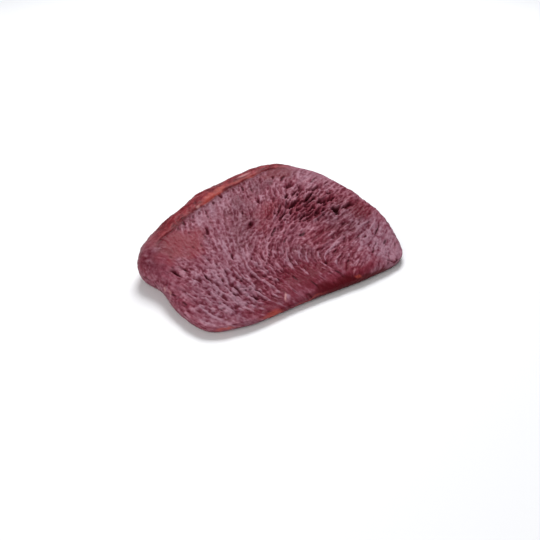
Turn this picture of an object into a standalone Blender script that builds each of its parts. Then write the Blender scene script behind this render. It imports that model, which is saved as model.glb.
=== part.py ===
"""A thick slab of raw beef heart, lying on its flat base.

The slab is a grid whose rim is pulled down in rings, laid over a rounded slab and then given the relief
of heart muscle: spindle-shaped bundles along a swirling grain, a craggy patch, a fold, pits and cracks.
Lengths are in millimetres until the mesh is made in metres. The slab's radii start at a centre near
the middle of its outline, and the finished mesh is moved so that the origin is under its middle.
"""

import math

import bmesh
import bpy
import numpy as np

MM = 0.001

# Outline of the slab seen from above, once round from the right
OUTLINE = (
    (99, 3), (94, 30), (81, 58), (58, 79), (27, 84), (-12, 76), (-48, 61), (-72, 47), (-93, 26), (-89, 0),
    (-91, -28), (-83.5, -57.5), (-60, -66.5), (-40, -68), (0, -67.2), (50, -68.2), (85.5, -63), (100, -32),
)
STEPS_BETWEEN_POINTS = 24

# The cut top face: its height over the centre, its rise to the right and to the back, its crown, and
# how it falls away towards the back
TOP_HEIGHT = 26.6
RISE_RIGHT = 0.035
RISE_BACK = 0.265
CROWN = 0.9
BACK_FALL = 5.9
BACK_FALL_START = 40.0
HALF_LENGTH = 95.0
HALF_WIDTH = 72.0
# How much less the crown falls off across the slab than along it
CROWN_ACROSS = 0.6
# The front right corner sags: its place, its reach and how far
DROOP_AT = (92, -60)
DROOP_REACH = 25.0
DROOP = 5.5

# The side: how far in from the outline the top starts to round down, by degrees round the outline
SHOULDER = (
    (0, 9), (20, 15), (42, 24), (66, 32), (110, 27), (150, 24), (172, 14), (205, 14), (235, 8), (262, 14),
    (288, 14), (310, 7), (345, 6),
)
# The height of the widest line: its mean, its swing, and the degrees at which it is highest
GIRTH_MEAN = 10.3
GIRTH_SWING = 4.9
GIRTH_HIGH_AT = 98.0
# How far the side curls in under the widest line, down to the flat base
CURL = 6.0

# Direction of the muscle grain: a place on the slab and the degrees of the grain there
GRAIN = (
    (-85, -8, 110), (-82, -38, 105), (-72, -60, 122), (-84, 18, 135), (-56, 6, 95), (-58, -53, 94),
    (-50, -25, 86), (-40, 20, 81), (-26, 19, 76), (-33, 0, 70), (-34, -50, 102), (-42, -66, 145),
    (-60, 40, 62), (-30, 45, 66), (4, 36, 68), (29, 32, 66), (4, -48, 108), (18, -62, 117),
    (-8, 2, 27), (9, -38, 58), (36, 0, 24), (54, -1, 16), (40, -12, 15), (56, 38, 28), (72, 18, 15),
    (68, -26, 10), (62, -41, 24), (40, -34, 12), (46, -50, 34), (64, -58, 45), (84, 10, 20), (82, -42, 42),
)
GRAIN_REACH = 13.0
# The grain's degrees are kept between this and 180 more
GRAIN_LOWEST = -25.0

# Bundles of muscle: length, width, depth of the crevices between them, and how uneven their heights are
BUNDLE_LENGTH = 13.0
BUNDLE_WIDTH = 4.6
BUNDLE_DEPTH = 0.4
BUNDLE_STEP = 0.4
BUNDLE_SEED = 11
# How far round its middle a bundle is looked for, in lengths
BUNDLE_WINDOW = 1.3
# How far inside a bundle its full height is reached, and the share of the depth that lies below the face
BUNDLE_EDGE = 0.45
BUNDLE_BELOW = 0.6

# The craggy patch: its centre, half length, half width and degrees, and the share of it that is full
CRAG = (44, 9, 47, 27, 4)
CRAG_CORE = 0.35
# Its ridges along the grain: breadth, half length, height, and how soon a crest falls to the hollow
RIDGE_BREADTH = 3.7
RIDGE_REACH = 9.0
RIDGE_HEIGHT = 2.3
RIDGE_FALL = 1.2
RIDGE_SEED = 31

# Calm patches, where the bundles are shallow: centre, half length, half width, degrees of the long side
CALM = (
    (-66, 12, 25, 18, 10), (72, 48, 46, 19, 124), (46, 72, 34, 19, 155), (-5, -60, 32, 14, 0),
    (74, -44, 38, 27, 70), (-30, 34, 40, 18, 24),
)
CALM_SHARE = 0.75
CALM_CORE = 0.4
# Coarse patches, where the bundles are deeper, and how much deeper
COARSE = (
    (-58, -40, 52, 34, 5), (-20, -36, 34, 20, 40),
)
COARSE_ADDS = 0.9
# How far up the side, as a share of the section, the bundles begin to fade, and the share they keep
SIDE_FADE_START = 0.84
SIDE_FADE_LENGTH = 0.10
SIDE_KEEPS = 0.35
BASE_FADE_LENGTH = 0.06

# Slow lumps and hollows of the cut face
LUMP_LENGTH = 34.0
LUMP_HEIGHT = 0.9
LUMP_SEED = 5

# Pits and cracks: centre, half length, half width, degrees of the long side, depth
PITS = (
    (66, -7, 5.0, 2.6, 20, 5.0), (78, -6, 12.0, 1.6, 8, 2.8), (88, -4, 4.0, 3.0, 10, 1.8),
    (47, 34, 5.0, 1.6, 25, 2.8), (51, 26, 6.0, 1.5, 22, 2.8), (67, 22, 7.0, 1.6, 15, 3.0),
    (51, 14, 7.0, 1.5, 18, 2.6), (47, -3, 7.0, 1.5, 18, 2.4), (34, 12, 6.0, 1.4, 24, 2.0),
    (66, 5, 8.0, 1.6, 12, 2.2), (-80, -9, 4.5, 1.3, 112, 2.4), (-40, 18, 5.0, 1.2, 80, 1.8),
    (-36, -13, 4.0, 1.2, 84, 1.6), (-10, 48, 3.5, 1.2, 60, 1.6), (14, 28, 4.0, 1.4, 60, 1.6),
    (-6, 8, 3.5, 1.4, 40, 2.0), (74, -67, 4.0, 1.4, 150, 1.4), (26, -60, 8.0, 1.5, 107, 0.8),
)

# The outer skin of the heart, left on the back of the slab between two directions
SKIN_FROM = 36.0
SKIN_TO = 170.0
SKIN_FADE = 12.0
SKIN_GROOVE = 0.8
SKIN_GROOVE_WIDTH = 1.6

# The grid, the rings of the side and the triangles that the finished solid keeps
GRID_CELLS = 126
SIDE_RINGS = 22
TOP_SHARE = 0.80
MERIDIANS = 360
MERIDIAN_STEPS = 160
RELIEF_PITCH = 0.9
RELIEF_HALF = 126.0
TRIANGLES = 11400
BASE_TOLERANCE = 0.15 * MM

MEAT_COLOUR = (0.21, 0.045, 0.065, 1.0)
MEAT_ROUGHNESS = 0.38


def smooth(value):
    """Ease from 0 to 1."""
    value = np.clip(value, 0, 1)
    return value * value * (3 - 2 * value)


def outline_radius(angle):
    """Distance from the centre to a smooth closed curve through the outline's points."""
    start = np.array(OUTLINE, float)[:, None]
    before, end, after = (np.roll(start, shift, 0) for shift in (1, -1, -2))
    step = np.linspace(0, 1, STEPS_BETWEEN_POINTS, endpoint=False)[None, :, None]
    bend = 3 * (start - end) + after - before
    curve = start + 0.5 * step * (end - before + step * (2 * before - 5 * start + 4 * end - after + step * bend))
    x, y = curve.reshape(-1, 2).T
    around = np.arctan2(y, x) % math.tau
    order = np.argsort(around)
    return np.interp(angle, around[order], np.hypot(x, y)[order], period=math.tau)


def shoulder_width(angle):
    """Width of the rounded shoulder, eased from one stated direction to the next."""
    degrees = np.degrees(angle) % 360
    at = np.array([station[0] for station in SHOULDER] + [360.0])
    width = np.array([station[1] for station in SHOULDER] + [SHOULDER[0][1]], float)
    index = np.clip(np.searchsorted(at, degrees, side="right") - 1, 0, len(SHOULDER) - 1)
    share = (degrees - at[index]) / (at[index + 1] - at[index])
    return width[index] + (width[index + 1] - width[index]) * smooth(share)


def top_height(x, y):
    """Height of the cut face, before its relief."""
    crown = CROWN * (1 - np.clip((x / HALF_LENGTH) ** 2 + CROWN_ACROSS * (y / HALF_WIDTH) ** 2, 0, 2))
    fall = BACK_FALL * (np.clip(y - BACK_FALL_START, 0, None) / HALF_WIDTH) ** 2
    droop = DROOP * np.exp(-((x - DROOP_AT[0]) ** 2 + (y - DROOP_AT[1]) ** 2) / DROOP_REACH ** 2)
    return TOP_HEIGHT + RISE_RIGHT * x + RISE_BACK * y + crown - fall - droop


def meridians():
    """Sections from the centre of the top to the edge of the base, at equal steps of surface length.

    Returns their points by direction and step, the surface length of each section, and the length at
    which the top face meets the shoulder."""
    angle = np.linspace(0, math.tau, MERIDIANS, endpoint=False)[:, None]
    stage = np.linspace(0, 3, 3 * MERIDIAN_STEPS + 1)[None, :]
    outer = outline_radius(angle)
    width = shoulder_width(angle)
    girth = GIRTH_MEAN + GIRTH_SWING * np.cos(angle - math.radians(GIRTH_HIGH_AT))
    over = np.clip(stage - 1, 0, 1) * math.pi / 2
    under = np.clip(stage - 2, 0, 1) * math.pi / 2
    radius = (outer - width) * np.clip(stage, 0, 1) + width * np.sin(over) - CURL * (1 - np.cos(under))
    x = radius * np.cos(angle)
    y = radius * np.sin(angle)
    above = girth + (top_height(x, y) - girth) * np.cos(over)
    z = np.where(stage > 2, girth * (1 - np.sin(under)), above)
    points = np.stack([x, y, z], -1)
    length = np.zeros(points.shape[:2])
    length[:, 1:] = np.cumsum(np.linalg.norm(np.diff(points, axis=1), axis=2), axis=1)
    even = np.linspace(0, 1, MERIDIAN_STEPS + 1)
    spaced = np.empty((MERIDIANS, MERIDIAN_STEPS + 1, 3))
    for row in range(MERIDIANS):
        share = length[row] / length[row, -1]
        for axis in range(3):
            spaced[row, :, axis] = np.interp(even, share, points[row, :, axis])
    return spaced, length[:, -1], length[:, MERIDIAN_STEPS]


def between(table, row, column):
    """Value of a table at rows and columns that need not be whole. Rows go round."""
    row_low = np.floor(row).astype(int)
    column_low = np.clip(np.floor(column).astype(int), 0, table.shape[1] - 2)
    row_share = (row - row_low)[:, None]
    column_share = (column - column_low)[:, None]
    low, high = row_low % len(table), (row_low + 1) % len(table)
    near = table[low, column_low] * (1 - column_share) + table[low, column_low + 1] * column_share
    far = table[high, column_low] * (1 - column_share) + table[high, column_low + 1] * column_share
    return near * (1 - row_share) + far * row_share


def grain_angle(x, y):
    """Direction of the grain, a mean of the stated directions weighted by nearness."""
    cosine = np.zeros(np.shape(x))
    sine = np.zeros(np.shape(x))
    for at_x, at_y, degrees in GRAIN:
        weight = 1 / (1 + ((x - at_x) ** 2 + (y - at_y) ** 2) / GRAIN_REACH ** 2) ** 2
        cosine += weight * math.cos(2 * math.radians(degrees))
        sine += weight * math.sin(2 * math.radians(degrees))
    lowest = math.radians(GRAIN_LOWEST)
    return (0.5 * np.arctan2(sine, cosine) - lowest) % math.pi + lowest


def bundles(x, y, length, width, seed):
    """Spindle-shaped cells along the grain.

    Returns how far each point is inside its cell, from 0 in the crevice, and the cell's random value."""
    rng = np.random.default_rng(seed)
    pitch = x[0, 1] - x[0, 0]
    half = x[0, -1]
    spacing = math.sqrt(length * width)
    count = int(2 * half / spacing)
    across, down = np.meshgrid(np.arange(count), np.arange(count))
    seed_x = ((across + rng.random(across.shape)) * spacing - half).ravel()
    seed_y = ((down + rng.random(down.shape)) * spacing - half).ravel()
    angle = grain_angle(seed_x, seed_y)
    value = rng.random(len(seed_x))
    nearest = np.full(x.shape, 9.0)
    second = np.full(x.shape, 9.0)
    tone = np.zeros(x.shape)
    reach = int(math.ceil(BUNDLE_WINDOW * length / pitch))
    for at_x, at_y, turn, one in zip(seed_x, seed_y, angle, value):
        column = int((at_x + half) / pitch)
        row = int((at_y + half) / pitch)
        window = (slice(max(row - reach, 0), row + reach + 1), slice(max(column - reach, 0), column + reach + 1))
        right = x[window] - at_x
        up = y[window] - at_y
        along = (right * math.cos(turn) + up * math.sin(turn)) / length
        aside = (up * math.cos(turn) - right * math.sin(turn)) / width
        distance = np.hypot(along, aside)
        closer = distance < nearest[window]
        second[window] = np.where(closer, nearest[window], np.minimum(second[window], distance))
        tone[window] = np.where(closer, one, tone[window])
        nearest[window] = np.minimum(nearest[window], distance)
    return second - nearest, tone


def lumps(x, y, length, seed):
    """Slow rise and fall between -1 and 1, eased between random values on a coarse grid."""
    rng = np.random.default_rng(seed)
    count = int(2 * RELIEF_HALF / length) + 3
    values = rng.uniform(-1, 1, (count, count))
    column = (x + RELIEF_HALF) / length
    row = (y + RELIEF_HALF) / length
    c = np.clip(column.astype(int), 0, count - 2)
    r = np.clip(row.astype(int), 0, count - 2)
    cs, rs = smooth(column - c), smooth(row - r)
    low = values[r, c] * (1 - cs) + values[r, c + 1] * cs
    high = values[r + 1, c] * (1 - cs) + values[r + 1, c + 1] * cs
    return low * (1 - rs) + high * rs


def patch(x, y, at_x, at_y, half_length, half_width, degrees):
    """Distance from a patch's centre, 1 on its ellipse."""
    turn = math.radians(degrees)
    along = ((x - at_x) * math.cos(turn) + (y - at_y) * math.sin(turn)) / half_length
    aside = ((y - at_y) * math.cos(turn) - (x - at_x) * math.sin(turn)) / half_width
    return np.hypot(along, aside)


def inside_patch(x, y, place, core):
    """1 in the core of a patch, eased to 0 at its edge."""
    return smooth((1 - patch(x, y, *place)) / (1 - core))


def inside_any(x, y, places):
    """1 in the middle of the stated patches, 0 outside them."""
    share = np.zeros(x.shape)
    for place in places:
        share = np.maximum(share, inside_patch(x, y, place, CALM_CORE))
    return share


def crag_ridges(x, y):
    """Sharp wavy ridges drawn out along the grain, 1 on a crest and 0 in a hollow."""
    total = lumps(x, y, RIDGE_BREADTH, RIDGE_SEED)
    step = RIDGE_BREADTH / 3
    count = 1
    for way in (-step, step):
        at_x, at_y = x, y
        for _ in range(int(RIDGE_REACH / step)):
            turn = grain_angle(at_x, at_y)
            at_x = at_x + way * np.cos(turn)
            at_y = at_y + way * np.sin(turn)
            total += lumps(at_x, at_y, RIDGE_BREADTH, RIDGE_SEED)
            count += 1
    return 1 - np.clip(np.abs(total) / math.sqrt(count) / RIDGE_FALL, 0, 1)


def pit_depth(x, y):
    """Depth of the pits and cracks."""
    depth = np.zeros(x.shape)
    for *place, deepest in PITS:
        depth = np.maximum(depth, deepest * np.exp(-patch(x, y, *place) ** 2))
    return depth


def skin_share(x, y, crease):
    """1 on the outer skin, 0 on the cut face. The crease is the surface length at each direction."""
    angle = np.arctan2(y, x) % math.tau
    degrees = np.degrees(angle)
    start = smooth((degrees - SKIN_FROM) / SKIN_FADE)
    end = smooth((SKIN_TO - degrees) / SKIN_FADE)
    directions = np.linspace(0, math.tau, MERIDIANS, endpoint=False)
    past = np.hypot(x, y) - np.interp(angle, directions, crease, period=math.tau)
    return start * end * smooth(past / 2 + 0.5), start * end * np.exp(-(past / SKIN_GROOVE_WIDTH) ** 2)


def relief(crease):
    """Height to add along the surface's normal, over the slab's unrolled surface."""
    count = int(round(2 * RELIEF_HALF / RELIEF_PITCH)) + 1
    line = np.linspace(-RELIEF_HALF, RELIEF_HALF, count)
    x, y = np.meshgrid(line, line)
    inside, tone = bundles(x, y, BUNDLE_LENGTH, BUNDLE_WIDTH, BUNDLE_SEED)
    skin, groove = skin_share(x, y, crease)
    bundle = BUNDLE_DEPTH * (smooth(inside / BUNDLE_EDGE) - BUNDLE_BELOW) + BUNDLE_STEP * (tone - 0.5)
    bundle *= 1 + COARSE_ADDS * inside_any(x, y, COARSE)
    ridge = RIDGE_HEIGHT * (crag_ridges(x, y) - 0.5) * inside_patch(x, y, CRAG, CRAG_CORE)
    muscle = (bundle + ridge) * (1 - CALM_SHARE * inside_any(x, y, CALM)) - pit_depth(x, y)
    return muscle * (1 - skin) + LUMP_HEIGHT * lumps(x, y, LUMP_LENGTH, LUMP_SEED) - SKIN_GROOVE * groove


def slab_mesh():
    """The slab as one closed mesh, in metres, centred over the origin."""
    mesh = bmesh.new()
    bmesh.ops.create_grid(mesh, x_segments=GRID_CELLS, y_segments=GRID_CELLS, size=1)
    rim = [edge for edge in mesh.edges if edge.is_boundary]
    for ring in range(SIDE_RINGS):
        pulled = bmesh.ops.extrude_edge_only(mesh, edges=rim)["geom"]
        corners = {item for item in pulled if isinstance(item, bmesh.types.BMVert)}
        bmesh.ops.translate(mesh, verts=list(corners), vec=(0, 0, -1 / SIDE_RINGS))
        rim = [item for item in pulled if isinstance(item, bmesh.types.BMEdge) and set(item.verts) <= corners]
    bmesh.ops.contextual_create(mesh, geom=rim)

    place = np.array([corner.co[:] for corner in mesh.verts])
    a, b, drop = place[:, 0], place[:, 1], -place[:, 2]
    u = a * np.sqrt(1 - b * b / 2)
    v = b * np.sqrt(1 - a * a / 2)
    angle = np.arctan2(v, u) % math.tau
    share = np.where(drop > 0, TOP_SHARE + (1 - TOP_SHARE) * drop, TOP_SHARE * np.hypot(u, v))
    sections, length, crease = meridians()
    row = angle / math.tau * MERIDIANS
    points = between(sections, row, share * MERIDIAN_STEPS)
    reach = share * np.interp(row, np.arange(MERIDIANS), length, period=MERIDIANS)
    for corner, point in zip(mesh.verts, points):
        corner.co = point
    bmesh.ops.recalc_face_normals(mesh, faces=mesh.faces)
    mesh.normal_update()

    table = relief(crease)[..., None]
    column = (reach * np.cos(angle) + RELIEF_HALF) / RELIEF_PITCH
    height = between(table, (reach * np.sin(angle) + RELIEF_HALF) / RELIEF_PITCH, column)[:, 0]
    height *= 1 - (1 - SIDE_KEEPS) * smooth((share - SIDE_FADE_START) / SIDE_FADE_LENGTH)
    height *= smooth((1 - share) / BASE_FADE_LENGTH)
    normals = np.array([corner.normal[:] for corner in mesh.verts])
    points += normals * height[:, None]
    points[:, :2] -= (points[:, :2].max(0) + points[:, :2].min(0)) / 2
    for corner, point in zip(mesh.verts, points):
        corner.co = point * MM
    mesh.normal_update()
    return mesh


def meat_material():
    """Raw heart muscle, dark wine red and wet."""
    material = bpy.data.materials.new("heart_muscle")
    material.use_nodes = True
    shader = material.node_tree.nodes["Principled BSDF"]
    shader.inputs["Base Color"].default_value = MEAT_COLOUR
    shader.inputs["Roughness"].default_value = MEAT_ROUGHNESS
    shader.inputs["Metallic"].default_value = 0.0
    return material


def beef_heart(collection):
    """The one piece of meat."""
    mesh = slab_mesh()
    data = bpy.data.meshes.new("beef_heart")
    triangles = sum(len(face.verts) - 2 for face in mesh.faces)
    mesh.to_mesh(data)
    mesh.free()
    data.materials.append(meat_material())
    data.shade_smooth()
    slab = bpy.data.objects.new("beef_heart", data)
    collection.objects.link(slab)
    fewer = slab.modifiers.new("Fewer triangles", "DECIMATE")
    fewer.ratio = TRIANGLES / triangles
    fewer.use_collapse_triangulate = True
    keep_base_flat(slab)
    return slab


def keep_base_flat(slab):
    """Apply the slab's modifiers and put the corners of the base back on one plane."""
    seen = slab.evaluated_get(bpy.context.evaluated_depsgraph_get())
    applied = bpy.data.meshes.new_from_object(seen)
    for corner in applied.vertices:
        if corner.co.z < BASE_TOLERANCE:
            corner.co.z = 0.0
    slab.modifiers.clear()
    slab.data = applied


def main():
    for item in list(bpy.data.objects):
        bpy.data.objects.remove(item)
    collection = bpy.data.collections.new("beef_heart")
    bpy.context.scene.collection.children.link(collection)
    beef_heart(collection)


main()
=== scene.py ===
import math
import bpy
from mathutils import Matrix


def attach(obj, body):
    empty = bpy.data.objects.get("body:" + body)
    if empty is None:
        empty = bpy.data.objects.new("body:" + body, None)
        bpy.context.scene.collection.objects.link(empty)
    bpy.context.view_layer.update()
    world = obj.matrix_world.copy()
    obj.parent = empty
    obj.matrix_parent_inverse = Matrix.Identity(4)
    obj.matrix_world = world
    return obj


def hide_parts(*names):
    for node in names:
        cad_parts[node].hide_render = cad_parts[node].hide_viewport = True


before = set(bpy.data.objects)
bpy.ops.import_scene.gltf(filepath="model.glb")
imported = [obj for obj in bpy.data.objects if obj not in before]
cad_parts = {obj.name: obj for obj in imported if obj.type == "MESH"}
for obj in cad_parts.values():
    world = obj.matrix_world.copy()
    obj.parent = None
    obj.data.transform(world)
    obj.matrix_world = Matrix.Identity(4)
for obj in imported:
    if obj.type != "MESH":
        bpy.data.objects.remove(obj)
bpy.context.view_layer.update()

from types import SimpleNamespace

import bmesh
import bpy
import numpy as np
from mathutils import Vector

# A thick slab of raw beef heart. Its form and coarse relief are those of the CAD solid, worked out again
# on a fine mesh, with the fine relief, the colours and the wet finish of the muscle added. The pits have
# steeper sides and wandering edges here, and the lip at the upper right is calmer.
# Lengths are in millimetres until the mesh is made in metres.
MM = 0.001

# Form of the slab, as in the CAD

OUTLINE = (
    (99, 3), (94, 30), (81, 58), (58, 79), (27, 84), (-12, 76), (-48, 61), (-72, 47), (-93, 26), (-89, 0),
    (-91, -28), (-83.5, -57.5), (-60, -66.5), (-40, -68), (0, -67.2), (50, -68.2), (85.5, -63), (100, -32),
)
STEPS_BETWEEN_POINTS = 24
TOP_HEIGHT = 26.6
RISE_RIGHT = 0.035
RISE_BACK = 0.265
CROWN = 0.9
BACK_FALL = 5.9
BACK_FALL_START = 40.0
HALF_LENGTH = 95.0
HALF_WIDTH = 72.0
CROWN_ACROSS = 0.6
# The front right corner sags: its place, its reach and how far
DROOP_AT = (92, -60)
DROOP_REACH = 25.0
DROOP = 5.5
SHOULDER = (
    (0, 9), (20, 15), (42, 24), (66, 32), (110, 27), (150, 24), (172, 14), (205, 14), (235, 8), (262, 14),
    (288, 14), (310, 7), (345, 6),
)
GIRTH_MEAN = 10.3
GIRTH_SWING = 4.9
GIRTH_HIGH_AT = 98.0
CURL = 6.0
GRAIN = (
    (-85, -8, 110), (-82, -38, 105), (-72, -60, 122), (-84, 18, 135), (-56, 6, 95), (-58, -53, 94),
    (-50, -25, 86), (-40, 20, 81), (-26, 19, 76), (-33, 0, 70), (-34, -50, 102), (-42, -66, 145),
    (-60, 40, 62), (-30, 45, 66), (4, 36, 68), (29, 32, 66), (4, -48, 108), (18, -62, 117),
    (-8, 2, 27), (9, -38, 58), (36, 0, 24), (54, -1, 16), (40, -12, 15), (56, 38, 28), (72, 18, 15),
    (68, -26, 10), (62, -41, 24), (40, -34, 12), (46, -50, 34), (64, -58, 45), (84, 10, 20), (82, -42, 42),
)
GRAIN_REACH = 13.0
GRAIN_LOWEST = -25.0
BUNDLE_LENGTH = 13.0
BUNDLE_WIDTH = 4.6
BUNDLE_DEPTH = 0.4
BUNDLE_STEP = 0.4
BUNDLE_SEED = 11
BUNDLE_WINDOW = 1.3
BUNDLE_EDGE = 0.45
BUNDLE_BELOW = 0.6
CRAG = (44, 9, 47, 27, 4)
CRAG_CORE = 0.35
RIDGE_BREADTH = 3.7
RIDGE_REACH = 9.0
RIDGE_HEIGHT = 2.3
RIDGE_FALL = 1.2
RIDGE_SEED = 31
CALM = (
    (-66, 12, 25, 18, 10), (72, 48, 46, 19, 124), (46, 72, 34, 19, 155), (-5, -60, 32, 14, 0),
    (74, -44, 38, 27, 70), (-30, 34, 40, 18, 24),
)
CALM_SHARE = 0.75
CALM_CORE = 0.4
COARSE = (
    (-58, -40, 52, 34, 5), (-20, -36, 34, 20, 40),
)
COARSE_ADDS = 0.9
SIDE_FADE_START = 0.84
SIDE_FADE_LENGTH = 0.10
SIDE_KEEPS = 0.35
BASE_FADE_LENGTH = 0.06
LUMP_LENGTH = 34.0
LUMP_HEIGHT = 0.9
LUMP_SEED = 5
PITS = (
    (66, -7, 5.0, 2.6, 20, 5.0), (78, -6, 12.0, 1.6, 8, 2.8), (88, -4, 4.0, 3.0, 10, 1.8),
    (47, 34, 5.0, 1.6, 25, 2.8), (51, 26, 6.0, 1.5, 22, 2.8), (67, 22, 7.0, 1.6, 15, 3.0),
    (51, 14, 7.0, 1.5, 18, 2.6), (47, -3, 7.0, 1.5, 18, 2.4), (34, 12, 6.0, 1.4, 24, 2.0),
    (66, 5, 8.0, 1.6, 12, 2.2), (-80, -9, 4.5, 1.3, 112, 2.4), (-40, 18, 5.0, 1.2, 80, 1.8),
    (-36, -13, 4.0, 1.2, 84, 1.6), (-10, 48, 3.5, 1.2, 60, 1.6), (14, 28, 4.0, 1.4, 60, 1.6),
    (-6, 8, 3.5, 1.4, 40, 2.0), (74, -67, 4.0, 1.4, 150, 1.4), (26, -60, 8.0, 1.5, 107, 0.8),
)
SKIN_FROM = 36.0
SKIN_TO = 170.0
SKIN_FADE = 12.0
SKIN_GROOVE = 0.8
SKIN_GROOVE_WIDTH = 1.6
TOP_SHARE = 0.80
MERIDIANS = 360
MERIDIAN_STEPS = 160
RELIEF_HALF = 126.0

# Fine mesh and fine relief, which the CAD solid is too coarse to hold
GRID_CELLS = 330
SIDE_RINGS = 44
RELIEF_PITCH = 0.36

# How far pits, flakes and the edges of zones wander: two patterns, each with its push and its size. The fat
# and the pale marks wander less, and the core of a zone has its full strength.
BEND = ((1.6, 5.0), (0.8, 2.4))
BEND_SEED = 65
WARP = ((0.7, 2.6), (0.4, 1.3))
WARP_SEED = 61
RAGGED = ((5.0, 9.0), (2.5, 3.4))
RAGGED_SEED = 81
FAT_RAGGED = 0.4
PALE_RAGGED = 0.1
ZONE_CORE = 0.3

# Slow patterns that make other things uneven: size and seed
SLOW = {
    "rough": (9.0, 72), "slits": (6.0, 71), "grooves": (4.1, 73), "crests": (5.0, 85), "lively": (7.0, 76),
    "mottle": (3.1, 75), "blotch": (6.5, 77), "cloud": (15.0, 79), "swell": (8.0, 91), "ripple": (2.9, 92),
}
SKIN_FINE = (2.2, 93)
SKIN_BROAD = (3.5, 94)
SIDE_EDGE = (6.0, 78)
# Noise drawn out along the grain: breadth, reach each way and seed
SWEPT = {
    "strand": (1.0, 2.6, 41),    # thin ridges
    "fleck": (0.9, 0.8, 97),     # short and nearly round
    "slit": (1.3, 4.0, 47),      # short dark openings, where it is lowest
    "shred": (1.8, 5.0, 59),     # sharp narrow ridges of the craggy patch
    "tress": (1.7, 10.0, 37),    # long pale strands over dark wine red
    "weave": (2.4, 4.5, 61),     # plump bundles with dark crevices between them
    "drift": (5.0, 7.0, 29),     # broad pale and dark patches
    "hue": (2.2, 6.0, 53),       # wine red and mauve by turns
}

# Flakes: their size, how uneven their heights are, the groove round each and the line of painted shade that
# shows there
FLAKE_LENGTH = 6.5
FLAKE_WIDTH = 2.2
FLAKE_SEED = 23
FLAKE_STEP = 0.24
FLAKE_GROOVE = 0.16
FLAKE_EDGE = 0.25
GROOVED_SHARE = 0.6
FLAKE_LINE = 0.22
LINE_MEAN = 0.8
# Heights of the patterns along the grain
STRAND_HEIGHT = 0.10
FLECK_HEIGHT = 0.09
SHRED_HEIGHT = 1.15
SHRED_FALL = 1.3
# Tresses: their height, where in the noise a crest starts and how soon it is full, and how much has crests
TRESS_HEIGHT = 0.5
TRESS_MEAN = 0.3
CREST_FROM = 0.2
CREST_EASE = 1.1
CRESTED_SHARE = 0.9
# Weave: its height, how much of it is bulge and how much crevice, and where in the noise a crevice ends
WEAVE_HEIGHT = 0.42
WEAVE_BULGE = 0.7
WEAVE_CREVICE = 0.8
CREVICE_TO = -1.3
CREVICE_EASE = 0.9
# Slits: their depth, how low the noise is where they open, how soon they are wide open, what moves that
SLIT_DEPTH = 0.6
SLIT_FROM = 1.5
SLIT_EASE = 1.2
SLIT_UNEVEN = 0.5
SLIT_SPLIT_END = 0.6
SLIT_TRESSED = 0.5
# How rough the fine relief is, and what calm places, the rim and the lip take from it
ROUGH = 1.2
ROUGH_UNEVEN = 0.4
ROUGH_CRAG = 0.7
ROUGH_COARSE = 0.7
ROUGH_CALM = 0.4
ROUGH_RIM = 0.7
ROUGH_LIP = 0.4
# Relief of the outer skin. Its streaks run along the rim: where they start, millimetres to a radian, and
# what they are made of
SWELL_HEIGHT = 0.65
RIPPLE_HEIGHT = 0.15
SKIN_STREAK_HEIGHT = 0.22
SKIN_STREAK_START = 1.8
SKIN_STREAK_SQUASH = 30.0
SKIN_STREAK = 0.6
SKIN_GRAIN = 0.16
# Where the cut face eases into the rim, from the crease of the top
RIM_FROM = -6.0
RIM_EASE = 14.0

# The right end, where slits are many
SPLIT_END = (74, -42, 32, 26, 60)
# The smooth lip along the upper right rim, where the relief is calmer than in the CAD
LIP = (60, 44, 42, 22, 126)
LIP_CORE = 0.4
LIP_CALMS = 0.5
# Small cracks of the craggy patch
CRACKS = ((38, 22, 5.0, 1.3, 25, 2.0), (44, 15, 5.0, 1.3, 22, 2.0), (56, 21, 4.0, 1.2, 30, 1.6))
# Places with tresses and with the weave, each with its strength
TRESSES = (
    (-32, -46, 38, 26, 110, 1.2), (4, -46, 40, 26, 0, 1.2), (-50, -60, 32, 14, 0, 1.0),
    (24, 34, 24, 12, 60, 0.5), (-68, -44, 34, 24, 90, 0.8), (70, -36, 32, 24, 60, 0.6),
    (36, -44, 34, 26, 0, 0.9), (-26, 6, 34, 28, 80, 0.5),
)
WOVEN = (
    (48, -28, 36, 24, 10, 0.9), (76, -44, 34, 28, 60, 0.6), (8, -8, 36, 22, 30, 0.8),
    (-60, -34, 34, 26, 90, 0.5),
)

# Colour zones of the cut face: place, half length, half width, degrees, strength. Wine is dark and red,
# partly the muscle's own colour and partly painted shade on slopes turned from the light; bloom is pale and
# mauve, partly the muscle's own tone and partly painted sheen; rosy is a warmer red; and the darker zones are
# painted shade.
WINE = (
    (0, -53, 36, 16, 5, 0.8), (84, -12, 22, 13, 100, 1.0), (38, -22, 26, 10, 12, 0.6),
    (8, 12, 20, 13, 50, 0.7), (-94, 20, 12, 6, 90, 0.5), (-40, -66, 24, 8, 0, 0.6), (52, 4, 34, 20, 5, 0.5),
    (30, -68, 44, 10, 2, 0.9),
)
BLOOM_AND_SHEEN = (
    (80, -50, 40, 30, 75, 1.25), (-36, -12, 44, 22, 85, 0.7), (-22, 36, 34, 18, 20, 0.6),
    (64, 47, 44, 17, 126, 0.8), (-60, -42, 44, 32, 80, 1.15), (-24, -62, 14, 8, 0, 0.7),
    (58, -14, 18, 8, 10, 0.5),
)
ROSY = (
    (-64, 14, 28, 19, 10, 1.0), (16, 14, 17, 10, 30, 0.5), (-70, 30, 24, 8, 30, 0.5),
    (44, 51, 20, 7, 170, 0.7),
)
PAINTED_SHADE_ZONES = (
    (-9, 18, 46, 16, 62, 0.9), (64, -18, 34, 26, 20, 0.9), (14, -32, 30, 12, 146, 0.6),
    (-82, 19, 20, 16, 20, 0.9), (26, 45, 24, 12, 20, 0.9), (46, 50, 20, 8, 170, 0.9),
)
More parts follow.
